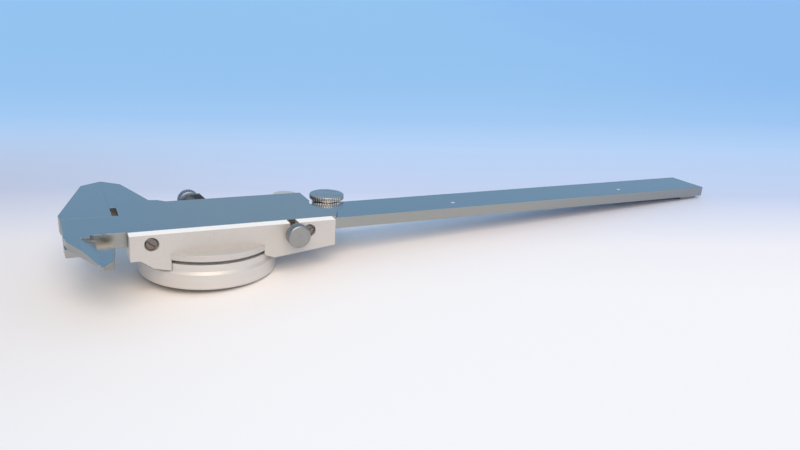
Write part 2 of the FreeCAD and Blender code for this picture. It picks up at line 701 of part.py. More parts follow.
repeated("bridge_screws", [
    ("0", "0"), ("post_radius", "0"), ("post_radius", "plate_screw_head"),
    ("plate_screw_radius", "plate_screw_head"), ("plate_screw_radius", plate_screw_length),
    ("0", plate_screw_length)],
    [(x, y, "plate_top_z - bridge_thick - plate_screw_head") for x, y in post_places])


def shaft(radius, bottom, top):
    return Part.makeCylinder(radius, top - bottom, FreeCAD.Vector(0, 0, bottom))


module, gear_thick = value("gear_module"), value("gear_thick")
arbor, pivot = value("arbor_radius"), value("pivot_radius")
bridge_top = value("plate_top_z")
bridge_bottom = bridge_top - value("bridge_thick")
arbor_bottom = bridge_top + value("end_play")
arbor_top = value("deck_top_z") - value("end_play")
drive_z = value("cavity_floor_z") - value("gear_gap") - gear_thick
backlash_z = drive_z - value("gear_step")
lean = math.atan2(value("dial_y") - pinion_y, value("dial_x") - pinion_x)
drive_step, centre_step = 2 * math.pi / value("drive_teeth"), 2 * math.pi / value("centre_teeth")
centre_lean = lean + math.pi + centre_step / 2
off_tooth = (math.pi - centre_lean) % centre_step
centre_arc = (centre_step - off_tooth) * value("centre_teeth")
backlash_lean = -(centre_arc / value("drive_teeth") + drive_step / 2)
at_pinion = FreeCAD.Vector(pinion_x, pinion_y, 0)
at_dial = FreeCAD.Vector(value("dial_x"), value("dial_y"), 0)
at_backlash = FreeCAD.Vector(value("backlash_x"), value("dial_y"), 0)

pinion_thick = value("pinion_thick")
pinion_z = value("groove_floor_z") - value("pinion_gap") - pinion_thick
pinion = gear_shape(rack_module, int(value("rack_teeth")), pinion_thick, 0, -math.pi / 2)
pinion.translate(FreeCAD.Vector(0, 0, pinion_z))
pinion = pinion.fuse([shaft(arbor, arbor_bottom, pinion_z + pinion_thick / 2),
                      shaft(pivot, bridge_bottom, bridge_top + value("join"))])
solid_piece("rack_pinion", pinion.removeSplitter(), at_pinion)
drive = gear_shape(module, int(value("drive_teeth")), gear_thick, arbor, lean)
solid_piece("drive_gear", drive, at_pinion + FreeCAD.Vector(0, 0, drive_z))

pointer_end_z = value("pointer_z") - value("pointer_thick") - value("pointer_end")
centre = gear_shape(module, int(value("centre_teeth")), value("centre_thick"), 0, centre_lean)
centre.translate(FreeCAD.Vector(0, 0, backlash_z - value("gear_side")))
centre = centre.fuse([shaft(arbor, arbor_bottom, arbor_top),
                      shaft(pivot, pointer_end_z, bridge_top + value("join"))])
solid_piece("pointer_arbor", centre.removeSplitter(), at_dial)
backlash = gear_shape(module, int(value("drive_teeth")), gear_thick, 0, backlash_lean)
backlash.translate(FreeCAD.Vector(0, 0, backlash_z))
backlash = backlash.fuse([shaft(arbor, arbor_bottom, arbor_top),
                          shaft(pivot, bridge_bottom, bridge_top + value("join"))])
solid_piece("backlash_gear", backlash.removeSplitter(), at_backlash)


def spiral_shape():
    """The flat spiral spring that keeps the train against one flank, from its free inner end to its stud."""
    turns, wire, steps_in_turn = value("spring_turns"), value("spring_wire"), 18
    steps = int(steps_in_turn * turns)
    inner, outer = value("spring_inner"), value("spring_outer")
    rims = []
    for shift in (-wire / 2, wire / 2):
        rim = []
        for i in range(steps + 1):
            angle = 2 * math.pi * turns * i / steps
            radius = inner + (outer - inner) * i / steps + shift
            rim.append(FreeCAD.Vector(radius * math.cos(angle), radius * math.sin(angle), 0))
        rims.append(rim)
    corners = rims[0] + rims[1][::-1]
    strip = Part.Face(Part.makePolygon(corners + corners[:1]))
    return strip.extrude(FreeCAD.Vector(0, 0, value("spring_tall")))


spring_z = bridge_top + value("spring_lift")
solid_piece("hairspring", spiral_shape(), at_backlash + FreeCAD.Vector(0, 0, spring_z))
stud_length = "spring_tall + 2 * spring_lift"
turned("spring_stud", [("0", "0"), ("stud_radius", "0"), ("stud_radius", stud_length), ("0", stud_length)],
       "backlash_x + spring_outer + spring_wire / 2 + stud_radius", "dial_y", "plate_top_z")

# Bezel ring on the spigot, with the dial plate, crystal, spring ring and pointer.
bore = "spigot_radius + bezel_run"
turned("bezel", [
    (bore, "bezel_top_z"), ("bezel_neck_radius", "bezel_top_z"), ("bezel_neck_radius", "bezel_neck_z"),
    ("bezel_radius", "bezel_neck_z - bezel_flare"), ("bezel_radius", "bezel_bottom_z + bezel_edge"),
    ("bezel_radius - bezel_edge", "bezel_bottom_z"), ("crystal_radius + bezel_edge", "bezel_bottom_z"),
    ("crystal_radius + fit", "crystal_top_z - crystal_thick"), ("crystal_radius + fit", "crystal_top_z"),
    ("dial_radius + fit", "crystal_top_z"), ("dial_radius + fit", "dial_top_z"), (bore, "dial_top_z"),
    (bore, snap_low + " - fit"), (bore + " + snap_thick", snap_low + " - fit"),
    (bore + " + snap_thick", snap_high + " + fit"), (bore, snap_high + " + fit")],
    "dial_x", "dial_y", "0")
snap_ring = new_body("bezel_snap_ring")
grow(snap_ring, [("dial_x", "dial_y", bore + " + snap_thick - snap_play"),
                 ("dial_x", "dial_y", "spigot_radius - snap_thick + snap_play / 2")], snap_low, snap_high)
cut(snap_ring, box_corners("dial_x - snap_opening / 2", "dial_y + spigot_radius - snap_opening / 2",
                           "dial_x + snap_opening / 2", "dial_y + spigot_radius + snap_opening / 2"),
    snap_low, snap_high)
dial_plate = new_body("dial_plate")
grow(dial_plate, [("dial_x", "dial_y", "dial_radius"), ("dial_x", "dial_y", "bush_radius")],
     "dial_top_z - dial_thick", "dial_top_z")
crystal = new_body("crystal")
grow(crystal, ("dial_x", "dial_y", "crystal_radius"), "crystal_top_z - crystal_thick", "crystal_top_z")
pointer = new_body("pointer")
grow(pointer, [
    ("dial_x - pointer_root", "dial_y + pointer_tail"),
    ("dial_x - pointer_point", "dial_y - pointer_length"),
    ("dial_x + pointer_point", "dial_y - pointer_length"),
    ("dial_x + pointer_root", "dial_y + pointer_tail"),
], "pointer_z - pointer_thick", "pointer_z")
grow(pointer, ("dial_x", "dial_y", "pointer_hub"), "pointer_z - pointer_thick", "pointer_z + pointer_thick")
cut(pointer, ("dial_x", "dial_y", "pivot_radius"), "pointer_z - pointer_thick", "pointer_z + pointer_thick")

# Bezel clamp: a plate hung on a thumb screw in the guide's far face, with a foot beside the bezel's neck.
clamp = new_body("clamp_plate")
grow(clamp, [
    ("clamp_x - clamp_left", "clamp_foot_z"),
    ("clamp_x + clamp_right", "clamp_foot_z"),
    ("clamp_x + clamp_right", "clamp_plate_top_z - clamp_corner"),
    ("clamp_x + clamp_right - clamp_corner", "clamp_plate_top_z"),
    ("clamp_x - clamp_left + clamp_corner", "clamp_plate_top_z"),
    ("clamp_x - clamp_left", "clamp_plate_top_z - clamp_corner"),
], "clamp_y", "clamp_y + clamp_plate_thick", "XZ_Plane")
grow(clamp, ("clamp_x", "beam_face_z / 2", "clamp_boss_radius"), "slider_far_y", "clamp_y", "XZ_Plane")
grow(clamp, box_corners("clamp_x - clamp_foot_left", "dial_y + bezel_neck_radius + bezel_run",
                        "clamp_x + clamp_foot_right", "clamp_y"),
     "clamp_foot_z", "bezel_top_z - clamp_foot_gap")
cut(clamp, ("clamp_x", "beam_face_z / 2", "clamp_stud_radius + fit"), "slider_far_y",
    "clamp_y + clamp_plate_thick", "XZ_Plane")
knob_under = "clamp_stud_depth + clamp_y + clamp_plate_thick - slider_far_y + clamp_gap"
knob_end = knob_under + " + clamp_knob_length"
turned("clamp_screw", [
    ("0", "0"), ("clamp_stud_radius", "0"), ("clamp_stud_radius", knob_under),
    ("clamp_knob_radius - rim_chamfer", knob_under), ("clamp_knob_radius", knob_under + " + rim_chamfer"),
    ("clamp_knob_radius", knob_end + " - rim_chamfer"), ("clamp_knob_radius - rim_chamfer", knob_end),
    ("0", knob_end)],
    "clamp_x", "slider_far_y - clamp_stud_depth", "beam_face_z / 2", along_y=True)

# Thumb roller beside the beam's far edge, on an axle in the housing's lug.
turned("thumb_roller", [
    ("axle_radius + fit", "lug_top_z + lug_gap"), ("drum_radius", "lug_top_z + lug_gap"),
    ("drum_radius", "roller_under_z"), ("roller_radius - rim_chamfer", "roller_under_z"),
    ("roller_radius", "roller_under_z + rim_chamfer"), ("roller_radius", "roller_top_z - rim_chamfer"),
    ("roller_radius - rim_chamfer", "roller_top_z"), ("0", "roller_top_z"),
    ("0", "roller_top_z - axle_cap"), ("axle_radius + fit", "roller_top_z - axle_cap")],
    "roller_x", "roller_y", "0")
clip_bottom = "lug_bottom_z - clip_thick"
axle_top = "roller_top_z - axle_cap - lug_gap"
turned("roller_axle", [
    ("0", clip_bottom + " - clip_thick"), ("axle_radius", clip_bottom + " - clip_thick"),
    ("axle_radius", clip_bottom), ("axle_radius - clip_depth", clip_bottom),
    ("axle_radius - clip_depth", "lug_bottom_z"), ("axle_radius", "lug_bottom_z"),
    ("axle_radius", axle_top), ("0", axle_top)], "roller_x", "roller_y", "0")
clip = new_body("axle_clip")
grow(clip, [("roller_x", "roller_y", "2 * axle_radius"),
            ("roller_x", "roller_y", "axle_radius - clip_depth")], clip_bottom, "lug_bottom_z")
cut(clip, box_corners("roller_x", "roller_y - axle_radius / 2", "roller_x + 3 * axle_radius",
                      "roller_y + axle_radius / 2"), clip_bottom, "lug_bottom_z")

doc.recompute()
for item in doc.Objects:
    if {"Invalid", "Error"} & set(item.State):
        raise RuntimeError(f"{item.Label} is {item.State}")
os.makedirs("parts", exist_ok=True)
for name, piece in pieces.items():
    piece.Label = name
    if piece.Shape.isNull() or not piece.Shape.isValid():
        raise RuntimeError(f"{name} has no valid shape")
    piece.Shape.exportStep(f"parts/{name}.step")
    print(name, len(piece.Shape.Solids), round(piece.Shape.Volume, 2))
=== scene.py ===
import bmesh
import bpy
import json
import math
from mathutils import Euler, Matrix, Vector


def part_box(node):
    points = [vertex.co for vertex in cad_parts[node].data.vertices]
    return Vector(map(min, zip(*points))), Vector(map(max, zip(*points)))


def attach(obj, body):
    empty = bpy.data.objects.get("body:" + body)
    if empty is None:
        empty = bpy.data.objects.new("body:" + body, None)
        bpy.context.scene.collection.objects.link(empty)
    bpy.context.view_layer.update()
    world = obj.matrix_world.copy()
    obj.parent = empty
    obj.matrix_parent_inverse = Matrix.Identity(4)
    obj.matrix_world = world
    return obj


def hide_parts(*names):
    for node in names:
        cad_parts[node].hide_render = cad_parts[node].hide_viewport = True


# Dial caliper lying on its dial. Everything is in metres, in the frame of the solids.
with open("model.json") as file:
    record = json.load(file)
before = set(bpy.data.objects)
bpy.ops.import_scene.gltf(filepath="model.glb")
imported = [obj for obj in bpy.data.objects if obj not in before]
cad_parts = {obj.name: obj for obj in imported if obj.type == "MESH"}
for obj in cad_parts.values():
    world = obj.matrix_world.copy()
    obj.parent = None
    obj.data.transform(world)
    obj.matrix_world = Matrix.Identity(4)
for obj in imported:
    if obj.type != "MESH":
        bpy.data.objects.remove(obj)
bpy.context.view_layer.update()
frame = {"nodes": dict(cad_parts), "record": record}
nodes = frame["nodes"]
mm = 0.001
print("solids loaded:", len(nodes))


def boxOf(node):
    low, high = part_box(node)
    return low, high, (low + high) / 2


# Shader maths


class Wire:  # one output of a shader node, with Python's operators on it
    def __init__(self, finish, socket):
        self.finish = finish
        self.socket = socket

    def calc(self, operation, first, second=0.0):
        return self.finish.add("ShaderNodeMath", {"operation": operation}, {0: first, 1: second})

    def __add__(self, other):
        return self.calc("ADD", self, other)

    def __sub__(self, other):
        return self.calc("SUBTRACT", self, other)

    def __rsub__(self, other):
        return self.calc("SUBTRACT", other, self)

    def __mul__(self, other):
        return self.calc("MULTIPLY", self, other)

    def __truediv__(self, other):
        return self.calc("DIVIDE", self, other)

    def __pow__(self, other):
        return self.calc("POWER", self, other)

    def __lt__(self, other):
        return self.calc("LESS_THAN", self, other)

    def __gt__(self, other):
        return self.calc("GREATER_THAN", self, other)

    def __abs__(self):
        return self.calc("ABSOLUTE", self)

    __radd__ = __add__

    def out(self, name):  # another output of the same node
        return Wire(self.finish, self.socket.node.outputs[name])


class Finish:  # a material, or the world, and the nodes that make it
    def __init__(self, name, owner=None):
        self.owner = owner or bpy.data.materials.new(name)
        self.owner.use_nodes = True
        self.tree = self.owner.node_tree
        self.tree.nodes.clear()
        self.place = self.add("ShaderNodeTexCoord").out("Object")

    def add(self, kind, settings=None, sockets=None, output=0):
        node = self.tree.nodes.new(kind)
        for name, setting in (settings or {}).items():
            if name == "stops":  # the first stop is at 0 and the last at 1
                ramp = node.color_ramp.elements
                ramp[0].color = (*setting[0][1], 1)
                ramp[-1].color = (*setting[-1][1], 1)
                for where, colour in setting[1:-1]:
                    ramp.new(where).color = (*colour, 1)
            else:
                setattr(node, name, setting)
        for key, wanted in (sockets or {}).items():
            if isinstance(wanted, Wire):
                self.tree.links.new(wanted.socket, node.inputs[key])
            else:
                node.inputs[key].default_value = wanted
        return Wire(self, node.outputs[output]) if node.outputs else None

    def noise(self, scale, stretch=(1, 1, 1), detail=3.0, turn=(0, 0, 0)):
        where = self.add("ShaderNodeMapping", None,
                         {"Vector": self.place, "Scale": stretch, "Rotation": turn})
        return self.add("ShaderNodeTexNoise", None, {"Vector": where, "Scale": scale, "Detail": detail})

    def levelOf(self, least):  # how far a face looks up or down, 1 from the given share upwards
        normal = self.add("ShaderNodeTexCoord").out("Normal")
        upright = abs(self.add("ShaderNodeSeparateXYZ", None, {0: normal}).out("Z"))
        return self.span(upright, least - 0.2, least)

    def mix(self, amount, first, second):  # between two colours
        return self.add("ShaderNodeMix", {"data_type": "RGBA"}, {0: amount, 6: first, 7: second}, 2)

    def span(self, value, low, high):  # smooth step from 0 to 1 between two values
        return self.add("ShaderNodeMapRange", {"interpolation_type": "SMOOTHSTEP"},
                        {0: value, 1: low, 2: high})

    def bump(self, height, strength, distance, edge=0.0):
        sockets = {"Height": height, "Strength": strength, "Distance": distance}
        if edge:  # edges that catch the light as rounded ones
            sockets["Normal"] = self.add("ShaderNodeBevel", {"samples": 4}, {"Radius": edge})
        return self.add("ShaderNodeBump", None, sockets)

    def metal(self, colour, roughness, normal, metallic=1.0):
        self.show(self.add("ShaderNodeBsdfPrincipled", None, {
            "Base Color": colour, "Roughness": roughness, "Metallic": metallic, "Normal": normal}))
        return self.owner

    def show(self, shader):
        self.add("ShaderNodeOutputMaterial", None, {"Surface": shader})


def shade(colour, amount):
    return (*[min(1, part * amount) for part in colour[:3]], 1)


def brushedSteel(name, colour, roughness, handled=None):
    # Ground along X, with smudges from hands and a few hairline scratches. The sides are painted darker than
    # the back and the face, as painted shade, and are rougher.
    # A handled steel turns to that colour along the slider.
    finish = Finish(name)
    stretch = (1, 40, 40)
    sidesWithPaintedShade = finish.levelOf(0.7) < 0.5
    lines = finish.noise(45.0, stretch, 5.0)
    fine = finish.noise(180.0, stretch, 2.0)
    smudge = finish.noise(38.0, detail=4.0)
    worn = finish.span(finish.noise(120.0, detail=6.0), 0.52, 0.7)
    slanted = finish.noise(14.0, (3, 110, 3), 1.0, (0, 0, math.radians(17)))
    scratches = (abs(slanted - 0.5) < 0.0015) * finish.span(finish.noise(55.0), 0.55, 0.6)
    tone = finish.mix(lines, shade(colour, 0.94), shade(colour, 1.06))
    if handled:
        along = finish.add("ShaderNodeSeparateXYZ", None, {0: finish.place}).out("X")
        tone = finish.mix(finish.span(along, 0.0, 0.03), tone, shade(handled, 1))
    tone = finish.mix(smudge * 0.16, tone, shade(colour, 0.8))
    tone = finish.mix(scratches * 0.4, tone, shade(colour, 1.4))
    # painted shade: faces that look sideways are darkened
    tone = finish.mix(sidesWithPaintedShade * 0.4, tone, shade(colour, 0.35))
    rough = roughness + (lines - 0.5) * 0.08 + (smudge - 0.5) * 0.1 + worn * 0.05 + sidesWithPaintedShade * 0.14
    height = lines * 0.7 + fine * 0.3 - scratches * 0.5
    return finish.metal(tone, rough, finish.bump(height, 0.1, 0.00002, 0.00006))


def turnedSteel(name, colour, roughness):
    # Fine rings along Z over a close grit, for small parts.
    finish = Finish(name)
    grit = finish.noise(1500.0, detail=4.0)
    rings = finish.noise(866.667, (0.2, 0.2, 6), 2.0)
    tone = finish.mix(grit, shade(colour, 0.8), shade(colour, 1.15))
    rough = roughness + (grit - 0.5) * 0.2 + (rings - 0.5) * 0.12
    return finish.metal(tone, rough, finish.bump(grit * 0.5 + rings * 0.5, 0.25, 0.00002, 0.00012))


def satinAluminium(name, colour, roughness, grain, paintedLightAbove):
    # Blasted and anodised: a close even grain and faint clouds. What looks up above the height
    # paintedLightAbove, on the strip beside the back plate, is painted paler and made less metallic: painted
    # light.
    finish = Finish(name)
    height = finish.add("ShaderNodeSeparateXYZ", None, {0: finish.place}).out("Z")
    # painted light: faces that look up above that height are painted paler and made less metallic
    ground = finish.levelOf(0.9) * (height > paintedLightAbove * mm)
    blast = finish.noise(grain, detail=3.0)
    cloud = finish.noise(60.0, detail=4.0)
    spots = finish.noise(700.0, detail=2.0)
    nicks = finish.span(spots, 0.72, 0.75)
    tone = finish.mix(blast, shade(colour, 0.9), shade(colour, 1.07))
    tone = finish.mix(cloud * 0.2, tone, shade(colour, 0.82))
    tone = finish.mix(nicks * 0.35, tone, shade(colour, 0.75))
    tone = finish.mix(ground, tone, (0.98, 0.95, 0.9, 1))
    rough = roughness + (blast - 0.5) * 0.12 + (cloud - 0.5) * 0.12 - nicks * 0.08
    grained = finish.bump(blast * 0.8 - nicks * 0.4, 0.25, 0.00003, 0.0002)
    return finish.metal(tone, rough, grained, metallic=0.35 - ground * 0.35)


def lathed(name, colour, roughness, centre):
    # Turned about a vertical axis: lines that follow radius and height, with the same satin grain.
    finish = Finish(name)
    here = finish.add("ShaderNodeVectorMath", {"operation": "SUBTRACT"}, {0: finish.place, 1: (*centre, 0)})
    split = finish.add("ShaderNodeSeparateXYZ", None, {0: here})
    radius = (split.out("X") ** 2 + split.out("Y") ** 2) ** 0.5
    along = finish.add("ShaderNodeCombineXYZ", None,
                       {0: radius, 1: split.out("Z"), 2: split.out("X") * 0.02})
    lines = finish.add("ShaderNodeTexNoise", None, {"Vector": along, "Scale": 3300.0, "Detail": 2.0})
    blast = finish.noise(3600.0, detail=2.0)
    cloud = finish.noise(75.0, detail=4.0)
    tone = finish.mix(lines * 0.6 + blast * 0.4, shade(colour, 0.9), shade(colour, 1.08))
    tone = finish.mix(cloud * 0.18, tone, shade(colour, 0.8))
    rough = roughness + (lines - 0.5) * 0.2 + (cloud - 0.5) * 0.12
    grained = finish.bump(lines * 0.6 + blast * 0.4, 0.22, 0.00003, 0.0002)
    return finish.metal(tone, rough, grained, metallic=0.4)


def paint(name, colour, roughness, grain=900.0, metallic=0.0, edge=0.00012):
    # Fine orange peel with dust, over metal or not.
    finish = Finish(name)
    peel = finish.noise(grain, detail=3.0)
    dust = finish.span(finish.noise(190.0, detail=5.0), 0.55, 0.75)
    tone = finish.mix(peel, shade(colour, 0.85), shade(colour, 1.15))
    tone = finish.mix(dust * 0.12, tone, shade([part + 0.12 for part in colour], 1.0))
    rough = roughness + (peel - 0.5) * 0.15 + dust * 0.15
    return finish.metal(tone, rough, finish.bump(peel, 0.2, 0.00002, edge), metallic)


def clearCrystal(name):
    # Clear acrylic that mirrors at a grazing look, with a faint haze.
    finish = Finish(name)
    haze = finish.noise(260.0, detail=4.0)
    film = finish.add("ShaderNodeFresnel", None, {"IOR": 1.49})
    gloss = finish.add("ShaderNodeBsdfGlossy", None, {"Roughness": 0.03 + haze * 0.06, "Color": (1, 1, 1, 1)})
    clear = finish.add("ShaderNodeBsdfTransparent", None, {"Color": (0.97, 0.985, 0.98, 1)})
    finish.show(finish.add("ShaderNodeMixShader", None, {0: film, 1: clear, 2: gloss}))
    return finish.owner


dialCentre = [boxOf("bezel")[2].x, boxOf("bezel")[2].y]
looks = {
    "beam_steel": brushedSteel("beam_steel", (0.51, 0.515, 0.485), 0.18),
    "jaw_steel": brushedSteel("jaw_steel", (0.51, 0.515, 0.485), 0.18, handled=(0.575, 0.52, 0.46)),
    "rack_steel": turnedSteel("rack_steel", (0.6, 0.58, 0.55), 0.3),
    "stop_steel": brushedSteel("stop_steel", (0.504, 0.4815, 0.441), 0.32),
    "screw_steel": turnedSteel("screw_steel", (0.42, 0.4, 0.38), 0.32),
    "housing_aluminium": satinAluminium("housing_aluminium", (0.58, 0.57, 0.56), 0.48, 2600.0, -1.0),
    "bezel_aluminium": lathed("bezel_aluminium", (0.66, 0.65, 0.64), 0.38, dialCentre),
    "gib_brass": brushedSteel("gib_brass", (0.3, 0.24, 0.15), 0.45),
    "dark_screw": turnedSteel("dark_screw", (0.24, 0.2, 0.18), 0.3),
    "lock_steel": turnedSteel("lock_steel", (0.36, 0.355, 0.34), 0.42),
    "brass": turnedSteel("brass", (0.8, 0.6, 0.3), 0.28),
    "gear_brass": turnedSteel("gear_brass", (0.82, 0.62, 0.31), 0.25),
    "arbor_steel": turnedSteel("arbor_steel", (0.6, 0.6, 0.6), 0.18),
    "spring_steel": turnedSteel("spring_steel", (0.12, 0.18, 0.38), 0.22),
    "spring_ring": turnedSteel("spring_ring", (0.45, 0.44, 0.43), 0.3),
    "dial_enamel": paint("dial_enamel", (0.86, 0.86, 0.83), 0.5, 1600.0),
    "crystal": clearCrystal("crystal"),
    "pointer_paint": paint("pointer_paint", (0.42, 0.03, 0.02), 0.35),
    "clamp_black": paint("clamp_black", (0.17, 0.19, 0.21), 0.36, 700.0, metallic=0.8),
    # The black knob is given a blue-grey metallic colour: a painted reflection of the blue backdrop.
    "knob_black": paint("knob_black", (0.25, 0.31, 0.36), 0.46, 500.0, metallic=0.9),
    "roller_steel": turnedSteel("roller_steel", (0.55, 0.53, 0.5), 0.3),
    "axle_steel": turnedSteel("axle_steel", (0.5, 0.49, 0.47), 0.26),
}
pinSteel = turnedSteel("pin_steel", (0.9, 0.9, 0.88), 0.6)
markInk = paint("mark_ink", (0.012, 0.012, 0.014), 0.5, 2000.0, edge=0.0)
for part in frame["record"]["subparts"]:
    piece = nodes[part["node"]]
    piece.data.materials.clear()
    piece.data.materials.append(pinSteel if part["node"] == "rack_pins" else looks[part["material_slot"]])
print("materials:", len(looks) + 2)


# Shaping by hand


def alone(piece):
    bpy.ops.object.select_all(action="DESELECT")
    piece.select_set(True)
    bpy.context.view_layer.objects.active = piece


def newPiece(name):
    piece = bpy.context.active_object
    piece.name = piece.data.name = name
    alone(piece)
    return piece


def pick(piece, wanted):  # selects the faces whose centre and normal suit
    shape = bmesh.from_edit_mesh(piece.data)
    for face in shape.faces:
        face.select_set(bool(wanted(face.calc_center_median(), face.normal)))
    shape.select_flush_mode()
    bmesh.update_edit_mesh(piece.data)


def settle(piece):  # its place goes into the mesh
    alone(piece)
    bpy.ops.object.transform_apply(location=True, rotation=True, scale=True)


def turned(name, profile, sides):
    # Rings of radius and height, each extruded from the last, about the Z axis.
    bpy.ops.object.select_all(action="DESELECT")
    (radius, height), *rest = profile
    bpy.ops.mesh.primitive_circle_add(vertices=sides, radius=radius * mm, fill_type="NGON",
                                      location=(0, 0, height * mm))
    piece = newPiece(name)
    settle(piece)
    bpy.ops.object.mode_set(mode="EDIT")
    bpy.ops.mesh.select_mode(type="FACE")
    bpy.ops.mesh.select_all(action="SELECT")
    for nextRadius, nextHeight in rest:
        bpy.ops.mesh.extrude_region_move(TRANSFORM_OT_translate={"value": (0, 0, (nextHeight - height) * mm)})
        ratio = nextRadius / radius
        bpy.ops.transform.resize(value=(ratio, ratio, 1), center_override=(0, 0, nextHeight * mm))
        radius, height = nextRadius, nextHeight
    bpy.ops.mesh.select_all(action="SELECT")
    bpy.ops.mesh.normals_make_consistent(inside=False)
    bpy.ops.object.mode_set(mode="OBJECT")
    return piece


def knurl(piece, size, low, high):
    # Every second side face between two heights becomes a groove.
    bpy.ops.object.mode_set(mode="EDIT")
    step = 2 * math.pi / size["sides"]

    def groove(middle, normal):
        turn = math.atan2(middle.y, middle.x) / step - 0.5
        return abs(normal.z) < 0.3 and low * mm < middle.z < high * mm and round(turn) % 2 == 0

    pick(piece, groove)
    bpy.ops.mesh.inset(thickness=size["grooveWidth"] * mm, depth=-size["grooveDepth"] * mm,
                       use_individual=True)
    bpy.ops.object.mode_set(mode="OBJECT")


slotReach = 5  # longer than any screw's head is wide


def slotCut(piece, width, deep):
    # A screwdriver slot right across the end at height 0.
    bpy.ops.object.select_all(action="DESELECT")
    bpy.ops.mesh.primitive_cube_add(size=1, location=(0, 0, deep / 2 * mm),
                                    scale=(slotReach * mm, width * mm, deep * mm))
    cutter = newPiece("slot_cutter")
    alone(piece)
    cut = piece.modifiers.new("slot", "BOOLEAN")
    cut.object = cutter
    cut.solver = "EXACT"
    bpy.ops.object.modifier_apply(modifier=cut.name)
    bpy.data.objects.remove(cutter)


def softened(piece, width, angle=30):
    alone(piece)
    edge = piece.modifiers.new("edges", "BEVEL")
    edge.width = width * mm
    edge.segments = 1
    edge.limit_method = "ANGLE"
    edge.angle_limit = math.radians(angle)
    bpy.ops.object.modifier_apply(modifier=edge.name)
    bpy.ops.object.shade_smooth_by_angle(angle=math.radians(35))


def copied(piece, place, turn):
    twin = piece.copy()
    twin.data = piece.data.copy()
    bpy.context.scene.collection.objects.link(twin)
    twin.location = place
    twin.rotation_euler = turn
    return twin


def joined(name, parts):
    bpy.ops.object.select_all(action="DESELECT")
    for part in parts:
        part.select_set(True)
    bpy.context.view_layer.objects.active = parts[0]
    bpy.ops.object.transform_apply(location=True, rotation=True, scale=True)
    if len(parts) > 1:
        bpy.ops.object.join()
    piece = bpy.context.active_object
    piece.name = piece.data.name = name
    return piece


def finishedAs(piece, body, slot, *stoodFor, look=None):
    piece.data.materials.clear()
    piece.data.materials.append(look or looks[slot])
    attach(piece, body)
    if stoodFor:
        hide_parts(*stoodFor)


alongY = (-math.pi / 2, 0, 0)  # turns +Z to +Y

# Thumb roller: the wheel with its straight knurl over the plain drum that runs on the beam.
roller = dict(wheel=5.75, drum=4.93, under=-0.9, edge=0.15, rim=0.12, sides=88, grooveWidth=0.1,
              grooveDepth=0.2, soft=0.05)
low, high, middle = boxOf("thumb_roller")
wheel, drum, rim = roller["wheel"], roller["drum"], roller["rim"]
underZ, topZ, drumZ = roller["under"], high.z / mm, low.z / mm
piece = turned("thumb_roller_wheel", [
    (drum - roller["edge"], drumZ), (drum, drumZ + roller["edge"]), (drum, underZ), (wheel - rim, underZ),
    (wheel, underZ + rim), (wheel, topZ - rim), (wheel - rim, topZ)], roller["sides"])
knurl(piece, roller, underZ + rim, topZ - rim)
piece.location = (middle.x, middle.y, 0)
settle(piece)
softened(piece, roller["soft"], 40)
finishedAs(piece, "roller", "roller_steel", "thumb_roller")

# Lock screw: knurled head, a collar and a plain stem, its axis along Y.
lock = dict(tall=3.2, rim=0.3, inset=0.8, collar=1.9, collarEnd=5.0, stem=1.1, stemStart=5.05, sides=72,
            grooveWidth=0.07, grooveDepth=0.16, soft=0.05)
low, high, middle = boxOf("lock_screw")
head, tall, rim = (high.x - low.x) / 2 / mm, lock["tall"], lock["rim"]
piece = turned("lock_screw_knurled", [
    (head - lock["inset"], 0), (head - rim, 0), (head, rim), (head, tall - rim), (head - rim, tall),
    (lock["collar"], tall), (lock["collar"], lock["collarEnd"]), (lock["stem"], lock["stemStart"]),
    (lock["stem"], (high.y - low.y) / mm)], lock["sides"])
knurl(piece, lock, rim, tall - rim)
piece.location = (middle.x, low.y, middle.z)
piece.rotation_euler = alongY
settle(piece)
softened(piece, lock["soft"], 40)
finishedAs(piece, "lock", "lock_steel", "lock_screw")

# Clamp screw: black knob with coarse grooves and a sunk middle, on a stud that the plate hides.
knob = dict(tall=3.5, stud=1.0, edge=0.3, rim=0.45, crown=(0.4, 0.35), hollow=(1.6, 1.3), sunk=0.25, sides=48,
            grooveWidth=0.09, grooveDepth=0.3, soft=0.06)
low, high, middle = boxOf("clamp_screw")
reach, radius = (high.y - low.y) / mm, (high.x - low.x) / 2 / mm
neck, edge, rim = reach - knob["tall"], knob["edge"], knob["rim"]
crown = (radius - rim * knob["crown"][0], reach - rim * knob["crown"][1])
piece = turned("clamp_screw_knob", [
    (knob["stud"], 0), (knob["stud"], neck), (radius - edge, neck), (radius, neck + edge),
    (radius, reach - rim), crown, (radius - rim, reach), (knob["hollow"][0], reach),
    (knob["hollow"][1], reach - knob["sunk"])], knob["sides"])
knurl(piece, knob, neck + edge, reach - rim)
piece.location = (middle.x, low.y, middle.z)
piece.rotation_euler = alongY
settle(piece)
softened(piece, knob["soft"], 40)
finishedAs(piece, "bezel_clamp", "knob_black", "clamp_screw")
print("knurled parts done")


def slottedScrew(name, size, length):
    # The slot is in the end at height 0, and the stem points up.
    head, stem, tall = size["head"], size["stem"], size["tall"]
    screw = turned(name, [(head - size["edge"], 0), (head, size["edge"]), (head, tall), (stem, tall),
                          (stem, length)], size["sides"])
    slotCut(screw, size["slot"], size["deep"])
    softened(screw, size["soft"])
    return screw


def screwSet(name, screw, places, turns, body, slot, node):
    # One screw copied to each place and turned as listed, then joined.
    screws = [copied(screw, place, turn) for place, turn in zip(places, turns)]
    bpy.data.objects.remove(screw)
    finishedAs(joined(name, screws), body, slot, node)


# Gib screws, in the wall.
size = dict(head=1.65, edge=0.2, tall=0.9, stem=1.1, length=3.2, sides=48, slot=0.55, deep=0.6, soft=0.04,
            spins=(0.7, 2.5))
low, high, middle = boxOf("gib_screws")
radius = size["head"] * mm
screwSet("gib_screws_slotted", slottedScrew("gib_screw", size, size["length"]),
         [(low.x + radius, low.y, middle.z), (high.x - radius, low.y, middle.z)],
         [(alongY[0], spin, 0) for spin in size["spins"]], "slider", "dark_screw", "gib_screws")

